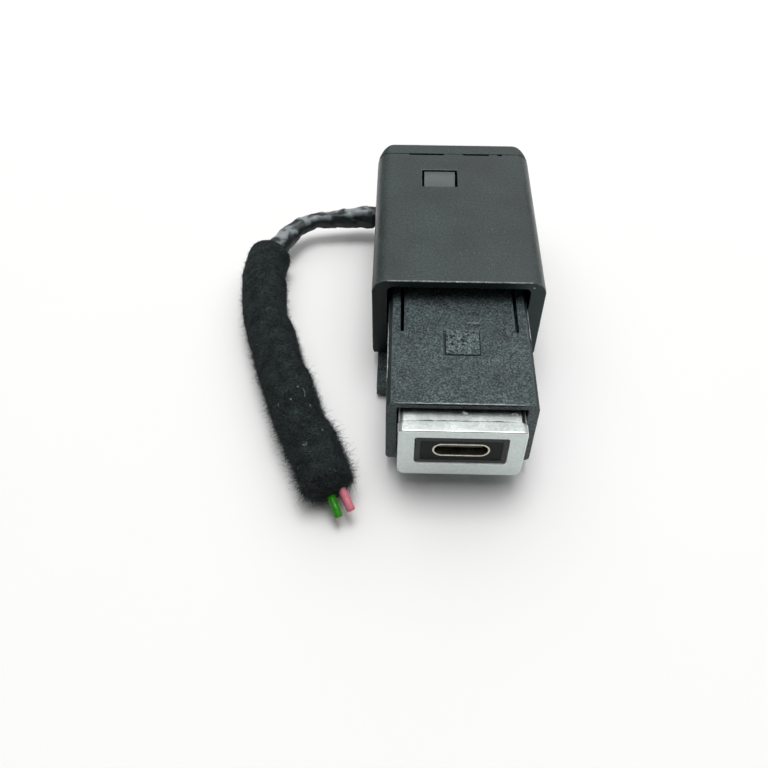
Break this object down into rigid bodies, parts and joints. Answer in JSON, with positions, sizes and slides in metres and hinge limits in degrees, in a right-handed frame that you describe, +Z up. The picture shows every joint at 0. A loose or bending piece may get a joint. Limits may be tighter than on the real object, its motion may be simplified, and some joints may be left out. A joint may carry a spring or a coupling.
{
  "type": "usb connector",
  "caption": "Dark plastic USB-C socket module with a chrome bezel, latched into a boxy wire connector whose cut-off lead leaves at the side in a fleece sleeve",
  "frame": {"origin": "on the floor, under the middle of the rigid parts (without the lead)", "axes": "+X to the right as the port is looked at from above and in front, +Y from the port face to the back of the wire connector, +Z up"},
  "size_m": [0.0553, 0.0748, 0.0202],
  "materials": {
    "body_plastic": "spark-eroded moulding",
    "bezel_chrome": "satin chrome plating on plastic",
    "insert_plastic": "fine matt moulding",
    "shell_steel": "nickel-plated deep-drawn sheet",
    "tongue_plastic": "moulded",
    "contact_gold": "gold flash",
    "board_laminate": "solder mask",
    "chip_epoxy": "moulded epoxy",
    "pressed_iron": "pressed powder",
    "capacitor_can": "drawn can",
    "capacitor_ceramic": "fired ceramic",
    "plug_plastic": "moulded",
    "pin_tin": "tin plate",
    "housing_plastic": "satin moulding",
    "lock_plastic": "moulded",
    "green_insulation": "extruded insulation",
    "pink_insulation": "extruded insulation",
    "lead_tape": "wound tape",
    "sleeve_fleece": "fleece tape with fuzz"
  },
  "bodies": {
    "root": {"socket_body": "body_plastic", "bezel": "bezel_chrome", "port_insert": "insert_plastic", "receptacle_shell": "shell_steel", "receptacle_base": "tongue_plastic", "shield_plate": "shell_steel", "upper_contacts": "contact_gold", "lower_contacts": "contact_gold", "circuit_board": "board_laminate", "converter_chip": "chip_epoxy", "port_controller": "chip_epoxy", "power_inductor": "pressed_iron", "bulk_capacitors": "capacitor_can", "ceramic_capacitors": "capacitor_ceramic", "chip_resistors": "chip_epoxy", "header_block": "plug_plastic", "header_pins": "pin_tin", "rear_housing": "housing_plastic", "rear_cap": "housing_plastic", "harness_plug": "plug_plastic", "plug_terminals": "pin_tin", "terminal_lock": "lock_plastic", "inner_green_wire": "green_insulation", "inner_pink_wire": "pink_insulation", "taped_lead": "lead_tape", "fleece_sleeve": "sleeve_fleece", "green_tail": "green_insulation", "pink_tail": "pink_insulation"}
  },
  "joints": []
}
